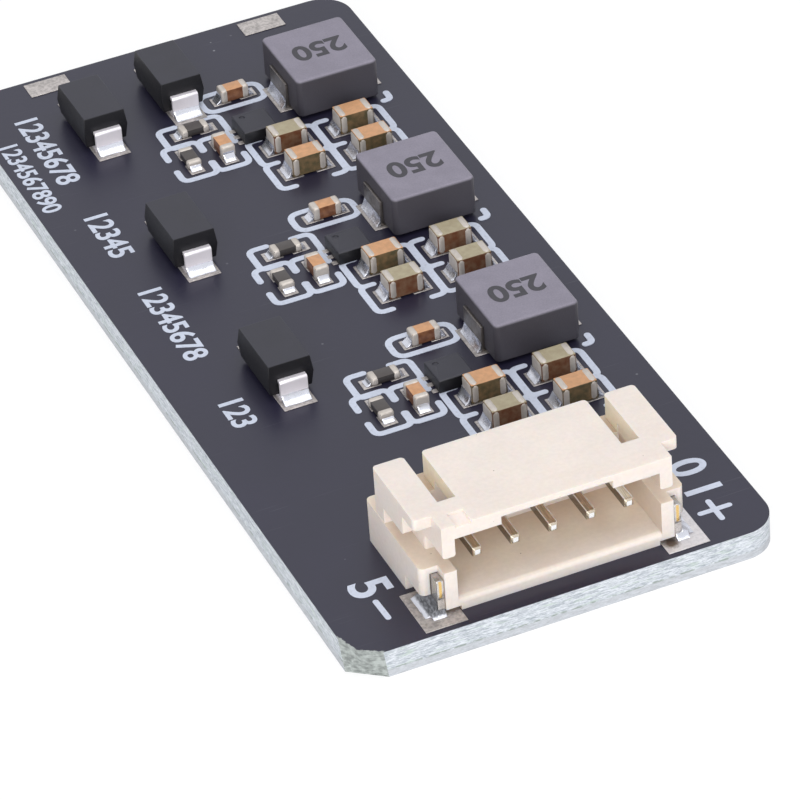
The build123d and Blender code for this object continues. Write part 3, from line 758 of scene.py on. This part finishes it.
def applied(bm, name, modifiers):
    """Mesh after modifiers, worked out at a thousand times its size because remeshing needs it."""
    bmesh.ops.scale(bm, verts=bm.verts, vec=(1 / MM, 1 / MM, 1 / MM))
    mesh = bpy.data.meshes.new(name)
    bm.to_mesh(mesh)
    bm.free()
    helper = bpy.data.objects.new(name, mesh)
    bpy.context.scene.collection.objects.link(helper)
    for kind, options in modifiers:
        modifier = helper.modifiers.new(kind.lower(), kind)
        for option, value in options.items():
            setattr(modifier, option, value)
    ready = helper.evaluated_get(bpy.context.evaluated_depsgraph_get())
    bm = bmesh.new()
    bm.from_mesh(bpy.data.meshes.new_from_object(ready))
    bpy.data.objects.remove(helper)
    bmesh.ops.scale(bm, verts=bm.verts, vec=(MM, MM, MM))
    return bm


def flow(node, surface_name, passes=6, swell=0.0, swell_scale=1.0):
    """Piece that stands for a solder node, run together as melted metal is. Swells are in millimetres."""
    grain_size = settings().parts.solder_grain / MM
    bm = merged_copy(node)
    bm = applied(bm, node + "_flow", [
        ("REMESH", {"mode": "VOXEL", "voxel_size": grain_size}),
        ("SMOOTH", {"factor": 0.5, "iterations": passes}),
    ])
    bm.normal_update()
    for vertex in bm.verts:
        rough = noise.noise(vertex.co / (swell_scale * MM))
        vertex.co += vertex.normal * rough * swell * MM
    finish_piece(bm, node + "_finished", [surface_name], [node], weighted=False)


# Print. The end rounding is a share of a line's width, and the brackets' radius is in millimetres.

END_STEPS = 5
END_ROUNDING = 0.49
FLAT_SHARE = 0.9
CORNER_STEPS = 6
DIGIT_STEPS = 8
BRACKET_RADIUS = 0.42


def side_step(path, place, closed):
    """Direction across a path at one of its points, longer where the path turns, so its width stays even."""
    last = len(path) - 1
    if closed and place in (0, last):
        before, after = path[0] - path[last - 1], path[1] - path[0]
    else:
        before = path[max(place, 1)] - path[max(place, 1) - 1]
        after = path[min(place, last - 1) + 1] - path[min(place, last - 1)]
    before, after = before.normalized(), after.normalized()
    middle = (before + after).normalized()
    return Vector((-middle.y, middle.x)) / middle.dot(before)


def ribbon(bm, points, width, level):
    """Adds a flat line of ink along a path, round at its ends. Later lines lie a step higher."""
    finish = settings().board
    path = [Vector(point) for point in points]
    closed = (path[0] - path[-1]).length < MERGE_DISTANCE
    columns = len(path) - 1
    flat = bmesh.new()
    bmesh.ops.create_grid(flat, x_segments=columns, y_segments=1, size=0.5)
    ends = []
    for vertex in flat.verts:
        place = round((vertex.co.x + 0.5) * columns)
        side = math.copysign(width / 2, vertex.co.y)
        spot = path[place] + side_step(path, place, closed) * side
        vertex.co = (spot.x, spot.y, level)
        if place in (0, columns):
            ends.append(vertex)
    if closed:
        bmesh.ops.remove_doubles(flat, verts=ends, dist=MERGE_DISTANCE)
    else:
        bmesh.ops.bevel(
            flat, geom=ends, offset=width * END_ROUNDING, offset_type="OFFSET", segments=END_STEPS,
            profile=0.5, affect="VERTICES", material=-1, clamp_overlap=True)
    raised = bmesh.ops.extrude_face_region(flat, geom=list(flat.faces), use_keep_orig=True)["geom"]
    laid_before = sum(face.normal.z < -FLAT_SHARE for face in bm.faces)
    lift = finish.ink_thickness + finish.ink_step * laid_before / columns
    raised = [each for each in raised if isinstance(each, bmesh.types.BMVert)]
    bmesh.ops.translate(flat, verts=raised, vec=(0, 0, lift))
    bmesh.ops.recalc_face_normals(flat, faces=flat.faces)
    mesh = bpy.data.meshes.new("ribbon")
    flat.to_mesh(mesh)
    flat.free()
    bm.from_mesh(mesh)
    bpy.data.meshes.remove(mesh)


def rounded_path(points, radius, closed=False):
    """Points of a path whose corners are drawn round."""
    path = [Vector(point) for point in points]
    count = len(path)
    drawn = []
    for i, corner in enumerate(path):
        if not closed and i in (0, count - 1):
            drawn.append(corner)
            continue
        before = path[i - 1]
        after = path[(i + 1) % count]
        entry = corner + (before - corner).normalized() * radius
        leave = corner + (after - corner).normalized() * radius
        for step in range(CORNER_STEPS + 1):
            t = step / CORNER_STEPS
            drawn.append(entry * (1 - t) ** 2 + corner * 2 * t * (1 - t) + leave * t ** 2)
    if closed:
        drawn.append(drawn[0])
    return drawn


def board_top():
    """Height of the board's upper face."""
    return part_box("board")[1].z


def middle_of(node):
    """Middle of a node."""
    low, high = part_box(node)
    return (low + high) / 2


def beside(origin, right, along):
    """Point in plan, given in millimetres from another."""
    return (origin.x + right * MM, origin.y + along * MM)


def brackets(bm, middle, half_length, half_width, stub, turned):
    """Two facing brackets round a chip that lies along X, or along Y where turned."""
    for side in (-1, 1):
        corners = [
            (side * (half_length - stub), half_width),
            (side * half_length, half_width),
            (side * half_length, -half_width),
            (side * (half_length - stub), -half_width),
        ]
        if turned:
            corners = [(-y, x) for x, y in corners]
        points = [beside(middle, *corner) for corner in corners]
        ribbon(bm, rounded_path(points, BRACKET_RADIUS * MM), settings().board.ink_width, board_top())


def add_text(bm, text, middle, height, turn, level, thickness, weight=0.02):
    """Adds a line of plain digits, given by its middle, its height and its turn."""
    curve = bpy.data.curves.new("digits", "FONT")
    curve.body = text
    curve.align_x = "CENTER"
    curve.offset = weight
    curve.extrude = 0.5
    curve.resolution_u = DIGIT_STEPS
    helper = bpy.data.objects.new("digits", curve)
    bpy.context.scene.collection.objects.link(helper)
    ready = helper.evaluated_get(bpy.context.evaluated_depsgraph_get())
    mesh = bpy.data.meshes.new_from_object(ready)
    bpy.data.objects.remove(helper)
    low = [min(v.co[i] for v in mesh.vertices) for i in range(3)]
    high = [max(v.co[i] for v in mesh.vertices) for i in range(3)]
    centre = Vector([(a + b) / 2 for a, b in zip(low, high)])
    scale = height / (high[1] - low[1])
    shape = Matrix.Diagonal((scale, scale, thickness / (high[2] - low[2]), 1.0))
    shape = shape @ Matrix.Translation(-centre)
    place = Matrix.Translation((middle[0], middle[1], level + thickness / 2)) @ Matrix.Rotation(turn, 4, "Z")
    mesh.transform(place @ shape)
    bm.from_mesh(mesh)


def print_marks(name, strokes, digits):
    """Piece of strokes and digits, in millimetres from the middle of the board's edge at the connector."""
    finish = settings().board
    near = Vector((0.0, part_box("board")[0].y))
    bm = bmesh.new()
    for stroke in strokes:
        ribbon(bm, [beside(near, *point) for point in stroke], finish.sign_width, board_top())
    for text, right, along, height in digits:
        place = beside(near, right, along)
        add_text(bm, text, place, height * MM, READING_TURN, board_top(), finish.ink_thickness)
    finish_piece(bm, name, ["ink"], weighted=False)


# The storage capacitors that lie with their olive face up are given by letter and stage, and the inset in
# millimetres.
STAGES = (1, 2, 3)
LETTERS = "abcd"
OLIVE_UP = ("a1", "d1", "a2", "b2", "d2", "c3")
CERAMIC_INSET = 0.03
CERAMIC_EDGE_SHARE = 0.4
CHIP_END_SHARE = 0.25
READING_TURN = math.radians(-90.0)

# Brackets round each chip, in millimetres: half their length, half their width, the length of their arms, and
# whether the chip lies along Y
CHIP_OUTLINES = [(f"storage_capacitor_{letter}", 1.9, 1.25, 0.95, False) for letter in LETTERS] + [
    ("gate_resistor", 1.75, 0.95, 1.2, False),
    ("sense_resistor", 1.65, 0.99, 1.22, True),
    ("sense_capacitor", 1.6, 0.9, 1.15, True),
]
# Printed lines: their corners in millimetres from the middle of the part, their rounding, and if they close
PART_LINES = (
    ("filter_capacitor", ((-1.8, -0.84), (1.66, -0.84), (1.66, 0.84), (-1.8, 0.84)), 0.62, True),
    ("inductor_core", ((2.2, -2.95), (2.8, -2.95), (2.8, -2.1)), 0.3, False),
)
# Signs are strokes from point to point. Digits have their text, their middle and their height.
TERMINAL_MARKS = {
    "terminal_print_left": ([((-8.6, 3.8), (-8.55, 2.1))], [("5", -8.41, 4.78, 2.1)]),
    "terminal_print_right": (
        [((7.95, 2.44), (9.8, 2.44)), ((8.87, 3.3), (8.87, 1.5))],
        [("0", 9.2, 6.1, 1.95), ("1", 9.1, 4.15, 1.95)]),
}
SIDE_DIGITS = (
    ("123", -8.6, 20.8, 1.35),
    ("12345678", -8.6, 29.5, 1.35),
    ("12345", -8.6, 38.5, 1.35),
    ("12345678", -8.6, 47.5, 1.35),
    ("1234567890", -10.35, 45.5, 1.1),
)
INDUCTOR_DIGITS = "250"


class Step:
    """What every step shares."""
    bl_options = {"REGISTER", "UNDO"}


class BALANCER_OT_board(Step, bpy.types.Operator):
    """Solder mask, laminate and tinned pads"""
    bl_idname = "balancer.board"
    bl_label = "Board and pads"

    def execute(self, context):
        dress("board", "mask")
        soften("tinned_pads", "pad", settings().board.pad_edge, 1)
        return {"FINISHED"}


class BALANCER_OT_housing(Step, bpy.types.Operator):
    """Moulded connector housing with rounded edges"""
    bl_idname = "balancer.housing"
    bl_label = "Connector housing"

    def execute(self, context):
        soften("connector_housing", "nylon", settings().connector.nylon_edge)
        return {"FINISHED"}


class BALANCER_OT_contacts(Step, bpy.types.Operator):
    """Connector contacts, solder tabs and their solder"""
    bl_idname = "balancer.contacts"
    bl_label = "Contacts and tabs"

    def execute(self, context):
        finish = settings().connector
        for node in named("contact_pin"):
            soften(node, "contact", finish.contact_edge)
        for node in named("solder_tab"):
            soften(node, "tab", finish.tab_edge)
        flow("contact_solder", "solder")
        flow("tab_solder_left", "tarnished", swell=0.02, swell_scale=0.3)
        flow("tab_solder_right", "solder", passes=14, swell=0.03, swell_scale=0.4)
        return {"FINISHED"}


def make_chip(node, body):
    """Piece that stands for a chip: a ceramic body between rounded tinned ends."""
    low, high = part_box(node)
    along = 0 if high.x - low.x > high.y - low.y else 1
    edge = settings().parts.chip_edge_share * (high[1 - along] - low[1 - along])
    bm = bmesh.new()
    inset = Vector((1, 1, 1)) * CERAMIC_INSET * MM
    rounded_box(bm, low + inset, high - inset, edge * CERAMIC_EDGE_SHARE, 0, 2)
    reach = (high[along] - low[along]) * CHIP_END_SHARE
    first_end, second_start = high.copy(), low.copy()
    first_end[along] = low[along] + reach
    second_start[along] = high[along] - reach
    rounded_box(bm, low, first_end, edge, 1)
    rounded_box(bm, second_start, high, edge, 1)
    finish_piece(bm, node + "_finished", [body, "end"], [node])


class BALANCER_OT_chips(Step, bpy.types.Operator):
    """Chip capacitors and chip resistors"""
    bl_idname = "balancer.chips"
    bl_label = "Chips"

    def execute(self, context):
        for stage in STAGES:
            for letter in LETTERS:
                body = "olive_up" if f"{letter}{stage}" in OLIVE_UP else "orange_up"
                make_chip(f"storage_capacitor_{letter}_{stage}", body)
        for node in named("filter_capacitor") + named("sense_capacitor"):
            make_chip(node, "ceramic")
        for node in named("gate_resistor") + named("sense_resistor"):
            make_chip(node, "film")
        return {"FINISHED"}


class BALANCER_OT_solder(Step, bpy.types.Operator):
    """Solder at the chips, the inductors and the diodes"""
    bl_idname = "balancer.solder"
    bl_label = "Solder"

    def execute(self, context):
        for node in named("stage_solder") + ["diode_solder"]:
            flow(node, "solder", passes=8, swell=0.02, swell_scale=0.6)
        return {"FINISHED"}


class BALANCER_OT_controllers(Step, bpy.types.Operator):
    """Stage controllers"""
    bl_idname = "balancer.controllers"
    bl_label = "Controllers"

    def execute(self, context):
        for node in named("controller"):
            soften(node, "epoxy", settings().parts.moulded_edge)
        return {"FINISHED"}


class BALANCER_OT_inductors(Step, bpy.types.Operator):
    """Pressed inductors, their terminals and plain digits on top"""
    bl_idname = "balancer.inductors"
    bl_label = "Inductors"

    def execute(self, context):
        parts = settings().parts
        for stage in STAGES:
            node = f"inductor_core_{stage}"
            soften(node, "core", parts.moulded_edge)
            soften(f"inductor_terminals_{stage}", "strip", parts.strip_edge)
            bm = bmesh.new()
            add_text(
                bm, INDUCTOR_DIGITS, middle_of(node), parts.core_mark_height, math.pi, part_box(node)[1].z,
                parts.core_mark_thickness, weight=0.03)
            finish_piece(bm, f"inductor_digits_{stage}", ["core_ink"], weighted=False)
        return {"FINISHED"}


class BALANCER_OT_diodes(Step, bpy.types.Operator):
    """Diodes and their leads"""
    bl_idname = "balancer.diodes"
    bl_label = "Diodes"

    def execute(self, context):
        for node in named("diode_body"):
            soften(node, "epoxy", settings().parts.moulded_edge)
        for node in named("diode_leads"):
            soften(node, "lead", settings().parts.strip_edge)
        return {"FINISHED"}


class BALANCER_OT_stage_print(Step, bpy.types.Operator):
    """Printed outlines round the chips of each stage"""
    bl_idname = "balancer.stage_print"
    bl_label = "Chip outlines"

    def execute(self, context):
        for stage in STAGES:
            bm = bmesh.new()
            for name, *sizes in CHIP_OUTLINES:
                brackets(bm, middle_of(f"{name}_{stage}"), *sizes)
            for name, corners, radius, closed in PART_LINES:
                middle = middle_of(f"{name}_{stage}")
                points = [beside(middle, *corner) for corner in corners]
                line = rounded_path(points, radius * MM, closed)
                ribbon(bm, line, settings().board.ink_width, board_top())
            finish_piece(bm, f"stage_print_{stage}", ["ink"], weighted=False)
        return {"FINISHED"}


class BALANCER_OT_terminal_print(Step, bpy.types.Operator):
    """Plain terminal digits and signs beside the connector"""
    bl_idname = "balancer.terminal_print"
    bl_label = "Terminal marks"

    def execute(self, context):
        for name, marks in TERMINAL_MARKS.items():
            print_marks(name, *marks)
        return {"FINISHED"}


class BALANCER_OT_side_print(Step, bpy.types.Operator):
    """Rows of plain digits down the left side"""
    bl_idname = "balancer.side_print"
    bl_label = "Side digits"

    def execute(self, context):
        print_marks("side_print", (), SIDE_DIGITS)
        return {"FINISHED"}


# Studio. Lengths and places are in metres, and the sensor's width is in millimetres.

FLOOR_REACH = 1.5
FLOOR_GAP = 0.01 * MM
LAMP_SIZE = 0.52
TOP_PLACE = (0.12, -0.12, 0.80)
TOP_TARGET = (0, 0, 0)
FRONT_PLACE = (-0.31, -0.59, 0.34)
FRONT_TARGET = (0, -0.01, 0)
SENSOR_WIDTH = 36.0


def add_lamp(name, place, target, power):
    """Square lamp that faces a point."""
    light = bpy.data.lights.new(name, "AREA")
    light.size = LAMP_SIZE
    light.energy = power
    lamp = bpy.data.objects.new(name, light)
    facing = (Vector(target) - Vector(place)).to_track_quat("-Z", "Y").to_matrix().to_4x4()
    lamp.matrix_world = Matrix.Translation(place) @ facing
    bpy.context.scene.collection.objects.link(lamp)


class BALANCER_OT_studio(Step, bpy.types.Operator):
    """Floor, soft light and camera"""
    bl_idname = "balancer.studio"
    bl_label = "Studio"

    def execute(self, context):
        studio = settings().studio
        self.make_floor()
        self.make_sky(studio.sky_strength)
        add_lamp("top", TOP_PLACE, TOP_TARGET, studio.top_power)
        add_lamp("front", FRONT_PLACE, FRONT_TARGET, studio.front_power)
        self.make_camera(studio)
        bpy.context.scene.view_settings.view_transform = "Standard"
        return {"FINISHED"}

    def make_floor(self):
        """Wide plain floor under the board."""
        bm = bmesh.new()
        bmesh.ops.create_grid(bm, x_segments=1, y_segments=1, size=FLOOR_REACH)
        bmesh.ops.translate(bm, verts=bm.verts, vec=(0, 0, -FLOOR_GAP))
        mesh = bpy.data.meshes.new("floor")
        bm.to_mesh(mesh)
        bm.free()
        mesh.materials.append(floor_material())
        floor = bpy.data.objects.new("floor", mesh)
        bpy.context.scene.collection.objects.link(floor)

    def make_sky(self, strength):
        """Even light that looks white to the camera and in reflections."""
        world = bpy.data.worlds.new("studio_sky")
        world.use_nodes = True
        look = Nodes(world.node_tree)
        sky = look.tree.nodes["Background"]
        sky.inputs["Color"].default_value = (0.98, 0.99, 1.0, 1.0)
        sky.inputs["Strength"].default_value = strength
        white = look.add("Background", {"Color": (1, 1, 1, 1), "Strength": 1.0})
        mirrored = look.add("Background", {"Color": (0.94, 0.96, 1.0, 1), "Strength": 1.06})
        seen = look.add("LightPath").outputs
        plain = look.larger(seen["Is Camera Ray"], seen["Is Transmission Ray"])
        mixed = look.add("MixShader", {0: plain, 1: sky.outputs[0], 2: white.outputs[0]})
        mixed = look.add("MixShader", {0: seen["Is Glossy Ray"], 1: mixed.outputs[0], 2: mirrored.outputs[0]})
        look.fill(look.tree.nodes["World Output"].inputs["Surface"], mixed.outputs[0])
        bpy.context.scene.world = world

    def make_camera(self, studio):
        """Camera at the photograph's view."""
        azimuth, elevation, roll = studio.azimuth, studio.elevation, studio.roll
        level = math.cos(elevation)
        back = Vector((math.sin(azimuth) * level, -math.cos(azimuth) * level, math.sin(elevation)))
        right = Vector((math.cos(azimuth), math.sin(azimuth), 0.0))
        up = back.cross(right)
        turned_right = right * math.cos(roll) + up * math.sin(roll)
        turned_up = up * math.cos(roll) - right * math.sin(roll)
        target = Vector((0.0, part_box("board")[0].y, board_top()))
        place = target + back * studio.distance
        place += turned_up * studio.aim_down - turned_right * studio.aim_right
        view = bpy.data.cameras.new("camera")
        view.lens = studio.focal_length
        view.sensor_width = SENSOR_WIDTH
        view.clip_start = 0.01
        view.clip_end = 10.0
        camera = bpy.data.objects.new("camera", view)
        matrix = Matrix((turned_right, turned_up, back)).transposed().to_4x4()
        matrix.translation = place
        camera.matrix_world = matrix
        bpy.context.scene.collection.objects.link(camera)
        bpy.context.scene.camera = camera


OPERATORS = (
    BALANCER_OT_studio,
    BALANCER_OT_board,
    BALANCER_OT_housing,
    BALANCER_OT_contacts,
    BALANCER_OT_chips,
    BALANCER_OT_solder,
    BALANCER_OT_controllers,
    BALANCER_OT_inductors,
    BALANCER_OT_diodes,
    BALANCER_OT_stage_print,
    BALANCER_OT_terminal_print,
    BALANCER_OT_side_print,
)


class BALANCER_PT_sidebar(bpy.types.Panel):
    """Settings and steps of the board's finish"""
    bl_idname = "BALANCER_PT_sidebar"
    bl_label = "Balancer board"
    bl_space_type = "VIEW_3D"
    bl_region_type = "UI"
    bl_category = "Board"

    def draw(self, context):
        for group in (settings().board, settings().connector, settings().parts, settings().studio):
            box = self.layout.box()
            for name in group.bl_rna.properties.keys():
                if name not in ("rna_type", "name"):
                    box.prop(group, name)
        for operator in OPERATORS:
            self.layout.operator(operator.bl_idname)


GROUPS = (BoardFinish, ConnectorFinish, ComponentFinish, Studio, BalancerBoard)
CLASSES = GROUPS + OPERATORS + (BALANCER_PT_sidebar,)


def register():
    """Registers the settings, the operators and the panel."""
    for each in CLASSES:
        bpy.utils.register_class(each)
    bpy.types.Scene.balancer_board = bpy.props.PointerProperty(type=BalancerBoard)


def unregister():
    """Takes the classes away again."""
    del bpy.types.Scene.balancer_board
    for each in reversed(CLASSES):
        bpy.utils.unregister_class(each)


def main():
    """Dresses the board step by step."""
    register()
    for operator in OPERATORS:
        group, name = operator.bl_idname.split(".")
        getattr(getattr(bpy.ops, group), name)()


if __name__ == "__main__":
    main()
